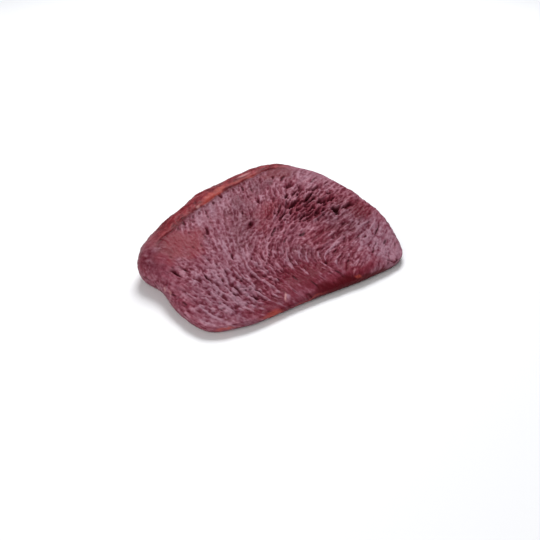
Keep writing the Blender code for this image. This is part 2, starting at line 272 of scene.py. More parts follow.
# A mauve place on the skin, partly painted sheen, and the darker strip of the cut face just below the skin
SKIN_MAUVE = (-92, 36, 34, 26, 60)
BELOW_SKIN = (-10, 50, 75, 34, 20)
BELOW_SKIN_CORE = 0.5
BELOW_SKIN_FROM = -9.0
BELOW_SKIN_EASE = 8.0
# Orange-red fat: along the crease of the skin, low on the front, and on the back
FAT = (
    (-14, 50, 26, 3.4, 22, 0.75), (14, 57, 22, 2.6, 8, 0.5), (-77, -67, 12, 2.2, 164, 0.8),
    (-41, -72.0, 12, 3.6, 0, 1.0), (-8, -73.5, 24, 1.6, 3, 0.5), (40, -71.8, 4.0, 1.4, 155, 1.0),
    (-22, 92, 18, 4.5, 22, 0.6), (44, 98, 14, 4.0, 160, 0.5),
)
# Pale marks: a painted highlight as a streak on the skin, a short cord of pale tissue and small pale spots
PALE = (
    (21, 62.5, 9, 2.4, 5, 0.8), (-22.5, -63, 5.0, 1.1, 57, 1.0), (-33, 42.6, 2.5, 1.5, 20, 0.8),
    (-94, -10, 3, 2, 90, 0.7), (-92, -17, 3, 1.6, 80, 0.6),
)
# The dark red side below the front edge, partly its own darker red and partly painted shade where it turns
# from the
# light: direction, height and strength, and how soft its upper edge is
SIDES = (
    (232, 10.5, 0.0), (246, 10.5, 0.3), (262, 10.0, 0.45), (274, 10.5, 0.9), (296, 11.0, 1.0),
    (318, 5.5, 0.9), (345, 5.0, 0.0),
)
SIDE_SOFT = 3.0
SIDE_UNEVEN = 1.5

# Lightness of the muscle: its middle, and how far each pattern moves it. Where a pattern also shapes the
# relief (lift, flake, strand, fleck, slit, torn, crest, line, weave, crevice), its lightness is partly
# painted: painted sheen on the raised places and painted shade in the low ones.
TONE = {
    "middle": 0.5, "strand": 0.10, "slit": 0.09, "fleck": 0.15, "flake": 0.26, "mottle": 0.16, "torn": 0.22,
    "blotch": 0.10, "cloud": 0.06, "lift": 0.22, "bloom_and_sheen": 0.22, "wine": -0.24, "crest": 0.72,
    "off_crest": -0.27, "line": 0.12, "split_line": 0.16, "weave": 0.08, "woven": 0.03, "crevice": -0.28,
    "drift": 0.04, "coarse_drift": 0.05,
}
# How far the right end evens the broad patterns out, and the tresses quieten the tones and flatten the flakes
SPLIT_END_EVENS = 0.6
TRESS_QUIETENS = 0.35
TRESS_FLATTENS = 0.5
# How lively the tone is: unevenly so, less at the rim, more where the grain is coarse or tressed
LIVELY_UNEVEN = 0.6
LIVELY_RIM = 0.4
LIVELY_COARSE = 0.45
# Mauve in the muscle, partly its own tone and partly painted sheen: its middle, how far each pattern and zone
# moves it, and how a crest clears wine red
MAUVE = {
    "middle": 0.42, "hue": 0.09, "drift": 0.02, "bloom_and_sheen": 0.42, "crest": 0.3, "wine": -0.5, "rosy": -0.4,
}
CREST_CLEARS_WINE = 0.8
# Hollows, below the mean of what is around them, take painted shade: how far around, how deep, and from what
# share
LIFT_REACH = 6.0
CAVITY_DEPTH = 1.3
CAVITY_FROM = 0.15
# How dark the painted shade of an open slit is, and from what depth in millimetres and how soon a pit takes
# painted shade
OPEN_SLIT = 0.75
OPEN_PIT_FROM = 2.4
OPEN_PIT_EASE = 2.0

# Shares that the mesh carries to the material, three to an attribute
ATTRIBUTES = {
    "relief": ("cavity", "streak", "open"),
    "zones": ("skin", "groove", "dull"),
    "tints": ("wine", "bloom_and_sheen", "rosy"),
    "marks": ("side", "fat", "pale"),
}
# Colours of the muscle from its darkest streaks to its palest, where it is red and where it is mauve. The
# mauve stops and the palest colours are partly painted sheen, the darkest partly painted shade.
RED_STOPS = (
    (0.0, (0.11, 0.008, 0.018)), (0.3, (0.17, 0.024, 0.042)), (0.5, (0.21, 0.040, 0.062)),
    (0.72, (0.26, 0.066, 0.093)), (1.0, (0.36, 0.140, 0.180)),
)
MAUVE_STOPS = (
    (0.0, (0.12, 0.018, 0.032)), (0.3, (0.17, 0.042, 0.068)), (0.5, (0.215, 0.080, 0.112)),
    (0.72, (0.25, 0.108, 0.146)), (1.0, (0.32, 0.160, 0.206)),
)
SKIN_STOPS = ((0.32, (0.075, 0.003, 0.007)), (0.5, (0.155, 0.012, 0.018)), (0.68, (0.25, 0.038, 0.045)))
# Tints over the muscle, from the first to the last: share, strength and colour. The wine tint is partly
# painted shade;
# the darker zones, the hollows and the open slits and pits are painted shade; the front side is partly its
# own darker red and partly painted shade.
MUSCLE_TINTS = (
    ("rosy", 0.75, (0.19, 0.022, 0.030)), ("wine", 0.5, (0.14, 0.012, 0.022)),
    ("dull", 0.28, (0.02, 0.001, 0.003)), ("cavity", 1.0, (0.06, 0.004, 0.009)),
    ("open", 1.0, (0.028, 0.002, 0.004)), ("side", 0.95, (0.075, 0.003, 0.006)),
)
# Mauve on the skin, partly painted sheen
SKIN_MAUVE_TINT = ("bloom_and_sheen", 0.6, (0.21, 0.080, 0.100))
# Painted shade in the groove where the skin meets the cut face
GROOVE_TINT = ("groove", 0.6, (0.07, 0.006, 0.010))
# The pale tint: a painted highlight on the skin, and pale tissue elsewhere
PALE_TINT = ("pale", 0.8, (0.50, 0.24, 0.24))
FAT_COLOUR = (0.42, 0.070, 0.050)
# Noise of the material: scale, in cells to a metre, and detail
SPECKLE = (1100, 3)
SKIN_MOTTLE = (160, 6)
SKIN_SPECKLE = (700, 4)
FAT_BREAKS = (240, 3)
WET_PATCHES = (420, 3)
WET_GRAIN = (1400, 4)
# How strong the speckle is, what the lightness of the skin is made of, and how much fat the breaks leave
SPECKLE_STRENGTH = 0.55
SKIN_FROM_MOTTLE = 0.45
SKIN_FROM_SPECKLE = 0.2
SKIN_FROM_STREAK = 0.35
FAT_KEEPS = 0.25
# The wet finish: roughness, how far patches and hollows raise it, the highlights and the fine grain
ROUGHNESS = 0.3
ROUGHNESS_PATCHES = 0.3
ROUGHNESS_HOLLOWS = 0.4
SPECULAR_LEVEL = 0.07
GRAIN_STRENGTH = 0.35
GRAIN_DISTANCE = 0.0004

# Studio and camera, in metres
AIM = (0, 0, 0.02)
KEY_AT = (0.46, 0.62, 1.10)
KEY_SIZE = 0.62
KEY_WATTS = 19.5
KEY_COLOUR = (0.96, 0.97, 1.0)
FILL_AT = (-0.95, -0.55, 0.65)
FILL_SIZE = 1.0
FILL_WATTS = 9.0
FILL_COLOUR = (1.0, 0.99, 0.98)
ROOM_COLOUR = (0.95, 0.97, 1.0, 1)
ROOM_STRENGTH = 0.30
FLOOR_HALF = 3.0
FLOOR_COLOUR = (0.82, 0.82, 0.82, 1)
FLOOR_ROUGHNESS = 0.7
CAMERA_AT = (-0.2534, -0.3893, 0.290)
CAMERA_LOOKS = (0.46572, 0.69385, -0.54923)
SENSOR_WIDTH = 36.0
LENS = 46.34


def smooth(value):
    """Ease from 0 to 1."""
    value = np.clip(value, 0, 1)
    return value * value * (3 - 2 * value)


def outline_radius(angle):
    """Distance from the centre to a smooth closed curve through the outline's points."""
    start = np.array(OUTLINE, float)[:, None]
    before, end, after = (np.roll(start, shift, 0) for shift in (1, -1, -2))
    step = np.linspace(0, 1, STEPS_BETWEEN_POINTS, endpoint=False)[None, :, None]
    bend = 2 * before - 5 * start + 4 * end - after + step * (3 * (start - end) + after - before)
    curve = start + 0.5 * step * (end - before + step * bend)
    x, y = curve.reshape(-1, 2).T
    around = np.arctan2(y, x) % math.tau
    order = np.argsort(around)
    return np.interp(angle, around[order], np.hypot(x, y)[order], period=math.tau)


def shoulder_width(angle):
    """Width of the rounded shoulder, eased from one stated direction to the next."""
    degrees = np.degrees(angle) % 360
    at = np.array([station[0] for station in SHOULDER] + [360.0])
    width = np.array([station[1] for station in SHOULDER] + [SHOULDER[0][1]], float)
    index = np.clip(np.searchsorted(at, degrees, side="right") - 1, 0, len(SHOULDER) - 1)
    share = (degrees - at[index]) / (at[index + 1] - at[index])
    return width[index] + (width[index + 1] - width[index]) * smooth(share)


def top_height(x, y):
    """Height of the cut face, before its relief."""
    crown = CROWN * (1 - np.clip((x / HALF_LENGTH) ** 2 + CROWN_ACROSS * (y / HALF_WIDTH) ** 2, 0, 2))
    fall = BACK_FALL * (np.clip(y - BACK_FALL_START, 0, None) / HALF_WIDTH) ** 2
    droop = DROOP * np.exp(-((x - DROOP_AT[0]) ** 2 + (y - DROOP_AT[1]) ** 2) / DROOP_REACH ** 2)
    return TOP_HEIGHT + RISE_RIGHT * x + RISE_BACK * y + crown - fall - droop


def meridians():
    """Sections from the centre of the top to the edge of the base, at equal steps of surface length.

    Returns their points by direction and step, the surface length of each section, and the length at
    which the top face meets the shoulder."""
    angle = np.linspace(0, math.tau, MERIDIANS, endpoint=False)[:, None]
    stage = np.linspace(0, 3, 3 * MERIDIAN_STEPS + 1)[None, :]
    outer = outline_radius(angle)
    width = shoulder_width(angle)
    girth = GIRTH_MEAN + GIRTH_SWING * np.cos(angle - math.radians(GIRTH_HIGH_AT))
    over = np.clip(stage - 1, 0, 1) * math.pi / 2
    under = np.clip(stage - 2, 0, 1) * math.pi / 2
    radius = (outer - width) * np.clip(stage, 0, 1) + width * np.sin(over) - CURL * (1 - np.cos(under))
    x = radius * np.cos(angle)
    y = radius * np.sin(angle)
    above = girth + (top_height(x, y) - girth) * np.cos(over)
    z = np.where(stage > 2, girth * (1 - np.sin(under)), above)
    points = np.stack([x, y, z], -1)
    length = np.zeros(points.shape[:2])
    length[:, 1:] = np.cumsum(np.linalg.norm(np.diff(points, axis=1), axis=2), axis=1)
    even = np.linspace(0, 1, MERIDIAN_STEPS + 1)
    spaced = np.empty((MERIDIANS, MERIDIAN_STEPS + 1, 3))
    for row in range(MERIDIANS):
        share = length[row] / length[row, -1]
        for axis in range(3):
            spaced[row, :, axis] = np.interp(even, share, points[row, :, axis])
    return spaced, length[:, -1], length[:, MERIDIAN_STEPS]


def between(table, row, column):
    """Value of a table at rows and columns that need not be whole. Rows go round."""
    row_low = np.floor(row).astype(int)
    column_low = np.clip(np.floor(column).astype(int), 0, table.shape[1] - 2)
    row_share = (row - row_low)[:, None]
    column_share = (column - column_low)[:, None]
    low, high = row_low % len(table), (row_low + 1) % len(table)
    near = table[low, column_low] * (1 - column_share) + table[low, column_low + 1] * column_share
    far = table[high, column_low] * (1 - column_share) + table[high, column_low + 1] * column_share
    return near * (1 - row_share) + far * row_share


def grain_angle(x, y):
    """Direction of the grain, a mean of the stated directions weighted by nearness."""
    cosine = np.zeros(np.shape(x))
    sine = np.zeros(np.shape(x))
    for at_x, at_y, degrees in GRAIN:
        weight = 1 / (1 + ((x - at_x) ** 2 + (y - at_y) ** 2) / GRAIN_REACH ** 2) ** 2
        cosine += weight * math.cos(2 * math.radians(degrees))
        sine += weight * math.sin(2 * math.radians(degrees))
    lowest = math.radians(GRAIN_LOWEST)
    return (0.5 * np.arctan2(sine, cosine) - lowest) % math.pi + lowest


def bundles(x, y, length, width, seed):
    """Spindle-shaped cells along the grain.

    Returns how far each point is inside its cell, from 0 in the crevice, and the cell's random value."""
    rng = np.random.default_rng(seed)
    pitch = x[0, 1] - x[0, 0]
    half = x[0, -1]
    spacing = math.sqrt(length * width)
    count = int(2 * half / spacing)
    across, down = np.meshgrid(np.arange(count), np.arange(count))
    seed_x = ((across + rng.random(across.shape)) * spacing - half).ravel()
    seed_y = ((down + rng.random(down.shape)) * spacing - half).ravel()
    angle = grain_angle(seed_x, seed_y)
    value = rng.random(len(seed_x))
    nearest = np.full(x.shape, 9.0)
    second = np.full(x.shape, 9.0)
    tone = np.zeros(x.shape)
    reach = int(math.ceil(BUNDLE_WINDOW * length / pitch))
    for at_x, at_y, turn, one in zip(seed_x, seed_y, angle, value):
        column = int((at_x + half) / pitch)
        row = int((at_y + half) / pitch)
        rows = slice(max(row - reach, 0), row + reach + 1)
        columns = slice(max(column - reach, 0), column + reach + 1)
        window = (rows, columns)
        right = x[window] - at_x
        up = y[window] - at_y
        along = (right * math.cos(turn) + up * math.sin(turn)) / length
        aside = (up * math.cos(turn) - right * math.sin(turn)) / width
        distance = np.hypot(along, aside)
        closer = distance < nearest[window]
        second[window] = np.where(closer, nearest[window], np.minimum(second[window], distance))
        tone[window] = np.where(closer, one, tone[window])
        nearest[window] = np.minimum(nearest[window], distance)
    return second - nearest, tone


def lumps(x, y, length, seed):
    """Slow rise and fall between -1 and 1, eased between random values on a coarse grid."""
    rng = np.random.default_rng(seed)
    count = int(2 * RELIEF_HALF / length) + 3
    values = rng.uniform(-1, 1, (count, count))
    column = (x + RELIEF_HALF) / length
    row = (y + RELIEF_HALF) / length
    c = np.clip(column.astype(int), 0, count - 2)
    r = np.clip(row.astype(int), 0, count - 2)
    cs, rs = smooth(column - c), smooth(row - r)
    low = values[r, c] * (1 - cs) + values[r, c + 1] * cs
    high = values[r + 1, c] * (1 - cs) + values[r + 1, c + 1] * cs
    return low * (1 - rs) + high * rs


def patch(x, y, at_x, at_y, half_length, half_width, degrees):
    """Distance from a patch's centre, 1 on its ellipse."""
    turn = math.radians(degrees)
    along = ((x - at_x) * math.cos(turn) + (y - at_y) * math.sin(turn)) / half_length
    aside = ((y - at_y) * math.cos(turn) - (x - at_x) * math.sin(turn)) / half_width
    return np.hypot(along, aside)


def inside_patch(x, y, place, core):
    """1 in the core of a patch, eased to 0 at its edge."""
    return smooth((1 - patch(x, y, *place)) / (1 - core))


def inside_any(x, y, places):
    """1 in the middle of the stated patches, 0 outside them."""
    share = np.zeros(x.shape)
    for place in places:
        share = np.maximum(share, inside_patch(x, y, place, CALM_CORE))
    return share


def crag_ridges(x, y):
    """Sharp wavy ridges drawn out along the grain, 1 on a crest and 0 in a hollow."""
    total = lumps(x, y, RIDGE_BREADTH, RIDGE_SEED)
    step = RIDGE_BREADTH / 3
    count = 1
    for way in (-step, step):
        at_x, at_y = x, y
        for _ in range(int(RIDGE_REACH / step)):
            turn = grain_angle(at_x, at_y)
            at_x = at_x + way * np.cos(turn)
            at_y = at_y + way * np.sin(turn)
            total += lumps(at_x, at_y, RIDGE_BREADTH, RIDGE_SEED)
            count += 1
    return 1 - np.clip(np.abs(total) / math.sqrt(count) / RIDGE_FALL, 0, 1)


def pit_depth(x, y, pits):
    """Depth of some pits and cracks."""
    depth = np.zeros(x.shape)
    for *place, deepest in pits:
        depth = np.maximum(depth, deepest * np.exp(-patch(x, y, *place) ** 3))
    return depth


def past_crease(x, y, crease):
    """Distance outward from the crease where the top face meets the shoulder, negative inside it."""
    directions = np.linspace(0, math.tau, MERIDIANS, endpoint=False)
    return np.hypot(x, y) - np.interp(np.arctan2(y, x) % math.tau, directions, crease, period=math.tau)


def skin_share(x, y, past):
    """1 on the outer skin and 0 on the cut face, and 1 in the groove between them."""
    degrees = np.degrees(np.arctan2(y, x) % math.tau)
    ends = smooth((degrees - SKIN_FROM) / SKIN_FADE) * smooth((SKIN_TO - degrees) / SKIN_FADE)
    return ends * smooth(past / 2 + 0.5), ends * np.exp(-(past / SKIN_GROOVE_WIDTH) ** 2)


def sample(table, x, y):
    """Value of a square table over the unrolled surface at places in millimetres."""
    column = np.clip((x + RELIEF_HALF) / RELIEF_PITCH, 0, table.shape[1] - 1.001)
    row = np.clip((y + RELIEF_HALF) / RELIEF_PITCH, 0, table.shape[0] - 1.001)
    c, r = column.astype(int), row.astype(int)
    cs, rs = column - c, row - r
    low = table[r, c] * (1 - cs) + table[r, c + 1] * cs
    high = table[r + 1, c] * (1 - cs) + table[r + 1, c + 1] * cs
    return low * (1 - rs) + high * rs


def swept(x, y, angle, breadth, reach, seed):
    """Random noise drawn out along the grain, with a mean of 0 and a spread of 1."""
    rng = np.random.default_rng(seed)
    values = blur(rng.standard_normal(x.shape), breadth)
    total = values.copy()
    for way in (-RELIEF_PITCH, RELIEF_PITCH):
        at_x, at_y = x, y
        for _ in range(int(reach / RELIEF_PITCH)):
            turn = sample(angle, at_x, at_y)
            at_x = at_x + np.cos(turn) * way
            at_y = at_y + np.sin(turn) * way
            total += sample(values, at_x, at_y)
    total -= blur(total, 4 * breadth)
    return total / total.std()


def blur(values, width):
    """Mean over a square of about that width in millimetres, twice."""
    half = max(int(round(width / RELIEF_PITCH / 2)), 1)
    size = 2 * half + 1
    for _ in range(2):
        for axis in (0, 1):
            padding = [(half + 1, half) if one == axis else (0, 0) for one in (0, 1)]
            total = np.cumsum(np.pad(values, padding, mode="edge"), axis=axis)
            take = np.arange(values.shape[axis])
            values = (np.take(total, take + size, axis) - np.take(total, take, axis)) / size
    return values


def pushed(x, y, patterns, seed, share=1.0):
    """Places pushed about by two slow patterns each way, so that what is looked up there wanders."""
    moved = []
    for line, first in ((x, seed), (y, seed + 2)):
        push = sum(far * lumps(x, y, size, first + step) for step, (far, size) in enumerate(patterns))
        moved.append(line + share * push)
    return moved


def zone(x, y, places, ragged=1.0):
    """Strength of the strongest of some zones, with soft ragged edges."""
    ragged_x, ragged_y = pushed(x, y, RAGGED, RAGGED_SEED, ragged)
    share = np.zeros(x.shape)
    for *place, strength in places:
        share = np.maximum(share, strength * inside_patch(ragged_x, ragged_y, place, ZONE_CORE))
    return share


def surface_shares(x, y, past):
    """How far each place is craggy, calm, coarse, tressed and so on, by name."""
    skin, groove = skin_share(x, y, past)
    tressed = zone(x, y, TRESSES)
    split_end = inside_patch(x, y, SPLIT_END, ZONE_CORE)
    return SimpleNamespace(
        crag=inside_patch(x, y, CRAG, CRAG_CORE),
        calm=inside_any(x, y, CALM),
        coarser=inside_any(x, y, COARSE),
        lip=inside_patch(x, y, LIP, LIP_CORE),
        near_rim=smooth((past - RIM_FROM) / RIM_EASE),
        skin=skin,
        groove=groove,
        tressed=tressed,
        tress_cover=np.clip(tressed, 0, 1),
        woven=zone(x, y, WOVEN),
        split_end=split_end,
        even=1 - SPLIT_END_EVENS * split_end,
    )


def grain_patterns(x, y, at, slow):
    """Patterns along the grain, by name: the swept noise, the flakes, and what is made from them."""
    angle = grain_angle(x, y)
    grain = SimpleNamespace(**{name: swept(x, y, angle, *numbers) for name, numbers in SWEPT.items()})
    inside, flake = bundles(x, y, FLAKE_LENGTH, FLAKE_WIDTH, FLAKE_SEED)
    warp_x, warp_y = pushed(x, y, WARP, WARP_SEED)
    grain.inside = sample(inside, warp_x, warp_y)
    grain.flake = sample(flake, warp_x, warp_y) - 0.5
    grain.torn = 0.5 - np.clip(np.abs(grain.shred) / SHRED_FALL, 0, 1)
    grain.crest = smooth((grain.tress - CREST_FROM) / CREST_EASE) * smooth(CRESTED_SHARE + slow.crests)
    grain.crevice = 1 - smooth((grain.weave - CREVICE_TO) / CREVICE_EASE)
    grain.bulge = np.tanh(grain.weave)
    low = SLIT_SPLIT_END * at.split_end - grain.slit - SLIT_FROM
    low -= SLIT_UNEVEN * slow.slits + SLIT_TRESSED * at.tressed
    grain.open_slit = smooth(low / SLIT_EASE)
    return grain


def coarse_relief(x, y, bent_x, bent_y, at):
    """The bundles, ridges and pits of the CAD, calmer on the lip, and the pits again by themselves."""
    inside, tone = bundles(x, y, BUNDLE_LENGTH, BUNDLE_WIDTH, BUNDLE_SEED)
    bundle = BUNDLE_DEPTH * (smooth(inside / BUNDLE_EDGE) - BUNDLE_BELOW) + BUNDLE_STEP * (tone - 0.5)
    bundle *= 1 + COARSE_ADDS * at.coarser
    keeps = 1 - LIP_CALMS * at.lip
    ridge = RIDGE_HEIGHT * (crag_ridges(x, y) - 0.5) * at.crag * keeps
    pits = pit_depth(bent_x, bent_y, PITS) * keeps
    return (bundle + ridge) * (1 - CALM_SHARE * at.calm) - pits, pits


def fine_relief(at, grain, slow):
    """Flakes, strands, slits, tresses, woven bundles, flecks and shreds."""
    grooves = (1 - smooth(grain.inside / FLAKE_EDGE)) * smooth(GROOVED_SHARE + slow.grooves)
    fine = FLAKE_STEP * grain.flake - FLAKE_GROOVE * grooves
    fine *= 1 - TRESS_FLATTENS * at.tress_cover
    fine += STRAND_HEIGHT * grain.strand - SLIT_DEPTH * grain.open_slit
    fine += at.tressed * TRESS_HEIGHT * (grain.crest - TRESS_MEAN)
    fine += at.woven * WEAVE_HEIGHT * (WEAVE_BULGE * grain.bulge - WEAVE_CREVICE * grain.crevice)
    fine += FLECK_HEIGHT * grain.fleck
    fine += at.crag * SHRED_HEIGHT * grain.torn
    rough = ROUGH + ROUGH_UNEVEN * slow.rough
    rough += ROUGH_CRAG * at.crag + ROUGH_COARSE * at.coarser - ROUGH_CALM * at.calm
    return fine * rough * (1 - ROUGH_RIM * at.near_rim) * (1 - ROUGH_LIP * at.lip)


def skin_streaks(x, y, past, grain):
    """Streaks of the outer skin, which run along the rim."""
    along = (np.arctan2(y, x) % math.tau - SKIN_STREAK_START) * SKIN_STREAK_SQUASH
    streaks = SKIN_STREAK * (lumps(along, 2 * past, *SKIN_FINE) + lumps(along, past, *SKIN_BROAD))
    return streaks + SKIN_GRAIN * (grain.fleck + grain.slit)


def muscle_tone(at, grain, slow, lift, wine, bloom_and_sheen):
    """Lightness of the muscle, from about 0 in its darkest streaks to about 1 in its palest, partly painted
    sheen and shade that follow the relief.
    """
    tone = TONE["strand"] * grain.strand + TONE["slit"] * grain.slit + TONE["fleck"] * grain.fleck
    tone += TONE["flake"] * grain.flake + TONE["mottle"] * slow.mottle + TONE["torn"] * at.crag * grain.torn
    tone += at.even * (TONE["blotch"] * slow.blotch + TONE["cloud"] * slow.cloud)
    tone *= 1 - TRESS_QUIETENS * at.tress_cover
    lively = 1 + LIVELY_UNEVEN * slow.lively - LIVELY_RIM * at.near_rim
    lively *= 1 + LIVELY_COARSE * np.maximum(at.coarser, at.tress_cover)
    tone = TONE["middle"] + lively * tone
    tone += TONE["lift"] * lift + TONE["bloom_and_sheen"] * bloom_and_sheen + TONE["wine"] * wine
    tone += at.tressed * (TONE["crest"] * grain.crest + TONE["off_crest"])
    flake_lines = smooth(grain.inside / FLAKE_LINE) - LINE_MEAN
    tone += (TONE["line"] + TONE["split_line"] * at.split_end) * flake_lines
    tone += at.woven * (TONE["weave"] * grain.bulge + TONE["woven"] + TONE["crevice"] * grain.crevice)
    tone += at.even * (TONE["drift"] + TONE["coarse_drift"] * at.coarser) * grain.drift
    return tone


def relief_maps(crease):
    """Tables over the unrolled surface: the relief's height and the shares that colour it."""
    count = int(round(2 * RELIEF_HALF / RELIEF_PITCH)) + 1
    line = np.linspace(-RELIEF_HALF, RELIEF_HALF, count)
    x, y = np.meshgrid(line, line)
    past = past_crease(x, y, crease)
    at = surface_shares(x, y, past)
    slow = SimpleNamespace(**{name: lumps(x, y, *numbers) for name, numbers in SLOW.items()})
    grain = grain_patterns(x, y, at, slow)

    bent_x, bent_y = pushed(x, y, BEND, BEND_SEED)
    coarse, pits = coarse_relief(x, y, bent_x, bent_y, at)
    muscle = coarse + fine_relief(at, grain, slow) - pit_depth(bent_x, bent_y, CRACKS)
    skin_streak = skin_streaks(x, y, past, grain)
    skin_relief = SWELL_HEIGHT * slow.swell + RIPPLE_HEIGHT * slow.ripple + SKIN_STREAK_HEIGHT * skin_streak
    height = muscle * (1 - at.skin) + skin_relief * at.skin - SKIN_GROOVE * at.groove
    height += LUMP_HEIGHT * lumps(x, y, LUMP_LENGTH, LUMP_SEED)

    lift = muscle - blur(muscle, LIFT_REACH)
    # Painted shade in the hollows
    hollow = smooth(-lift / CAVITY_DEPTH - CAVITY_FROM) * (1 - LIP_CALMS * at.lip)
    # Painted shade in open slits and deep pits
    opening = np.maximum(OPEN_SLIT * grain.open_slit, smooth((pits - OPEN_PIT_FROM) / OPEN_PIT_EASE))
    # Wine red is partly painted shade on slopes turned from the light, and bloom partly painted sheen
    wine, bloom_and_sheen, rosy = (zone(x, y, places) for places in (WINE, BLOOM_AND_SHEEN, ROSY))
    pale_strand = at.tress_cover * grain.crest
    wine *= 1 - CREST_CLEARS_WINE * pale_strand
    tone = muscle_tone(at, grain, slow, lift, wine, bloom_and_sheen)
    mauve = MAUVE["middle"] + at.even * (MAUVE["hue"] * grain.hue + MAUVE["drift"] * grain.drift)
    mauve += MAUVE["bloom_and_sheen"] * bloom_and_sheen + MAUVE["crest"] * pale_strand
    mauve += MAUVE["wine"] * wine + MAUVE["rosy"] * rosy
    skin_mauve = inside_patch(x, y, SKIN_MAUVE, ZONE_CORE)
    below_skin = inside_patch(x, y, BELOW_SKIN, BELOW_SKIN_CORE)
    below_skin *= smooth((past - BELOW_SKIN_FROM) / BELOW_SKIN_EASE)
    fat = zone(x, y, FAT, FAT_RAGGED)
    return {
        "height": height,
        "cavity": hollow * (1 - at.skin),
        "streak": np.clip(tone * (1 - at.skin) + (0.5 + 0.5 * skin_streak) * at.skin, 0, 1),
        "open": opening * (1 - at.skin),
        "skin": at.skin,
        "groove": at.groove * (1 - fat),
        # Painted shade zones, with the darker strip below the skin
        "dull": np.maximum(zone(x, y, PAINTED_SHADE_ZONES), below_skin),
        "wine": wine,
        "bloom_and_sheen": np.clip(mauve * (1 - at.skin) + skin_mauve * at.skin, 0, 1),
        "rosy": rosy,
        "fat": fat,
        "pale": zone(x, y, PALE, PALE_RAGGED),
    }


def slab_grid():
    """A square grid with rings of faces pulled down from its rim, to be bent into the slab."""
    mesh = bmesh.new()
    bmesh.ops.create_grid(mesh, x_segments=GRID_CELLS, y_segments=GRID_CELLS, size=1)
    rim = [edge for edge in mesh.edges if edge.is_boundary]
    for _ in range(SIDE_RINGS):
        pulled = bmesh.ops.extrude_edge_only(mesh, edges=rim)["geom"]
        corners = {item for item in pulled if isinstance(item, bmesh.types.BMVert)}
        bmesh.ops.translate(mesh, verts=list(corners), vec=(0, 0, -1 / SIDE_RINGS))
        rim = [item for item in pulled if isinstance(item, bmesh.types.BMEdge) and set(item.verts) <= corners]
    bmesh.ops.contextual_create(mesh, geom=rim)
    return mesh


def slab_mesh():
    """The slab as one fine closed mesh in metres, with its colouring shares as attributes.

    The square is rounded to a disc for the top, and the rings run down the side to the edge of the base."""
    mesh = slab_grid()
    place = np.array([corner.co[:] for corner in mesh.verts])
    a, b, drop = place[:, 0], place[:, 1], -place[:, 2]
    u = a * np.sqrt(1 - b * b / 2)
    v = b * np.sqrt(1 - a * a / 2)
    angle = np.arctan2(v, u) % math.tau
    share = np.where(drop > 0, TOP_SHARE + (1 - TOP_SHARE) * drop, TOP_SHARE * np.hypot(u, v))
    sections, length, crease = meridians()
    row = angle / math.tau * MERIDIANS
    points = between(sections, row, share * MERIDIAN_STEPS)
    reach = share * np.interp(row, np.arange(MERIDIANS), length, period=MERIDIANS)
    for corner, point in zip(mesh.verts, points):
        corner.co = point
    bmesh.ops.recalc_face_normals(mesh, faces=mesh.faces)
    mesh.normal_update()

    maps = relief_maps(crease)
    x, y = reach * np.cos(angle), reach * np.sin(angle)
    shares = {name: sample(table, x, y) for name, table in maps.items()}
    height = shares["height"]
    height *= 1 - (1 - SIDE_KEEPS) * smooth((share - SIDE_FADE_START) / SIDE_FADE_LENGTH)
    height *= smooth((1 - share) / BASE_FADE_LENGTH)
    normals = np.array([corner.normal[:] for corner in mesh.verts])
    points += normals * height[:, None]
    points[:, :2] -= (points[:, :2].max(0) + points[:, :2].min(0)) / 2
    points[:, 2] = np.maximum(points[:, 2], 0)
    for corner, point in zip(mesh.verts, points):
        corner.co = point * MM
    data = bpy.data.meshes.new("meat")
    mesh.to_mesh(data)
    mesh.free()
    data.shade_smooth()

    degrees = np.degrees(angle)
    directions, tops, strengths = zip(*SIDES)
    side_top = np.interp(degrees, directions, tops) + SIDE_UNEVEN * lumps(x, y, *SIDE_EDGE)
    # Painted shade on the front side, with its own darker red
    shares["side"] = smooth((side_top - points[:, 2]) / SIDE_SOFT) * np.interp(degrees, directions, strengths)
    for name, parts in ATTRIBUTES.items():
        columns = [shares[part] for part in parts] + [np.ones(len(points))]
        layer = data.attributes.new(name, "FLOAT_COLOR", "POINT")
        layer.data.foreach_set("color", np.stack(columns, -1).astype(np.float32).ravel())
    return data


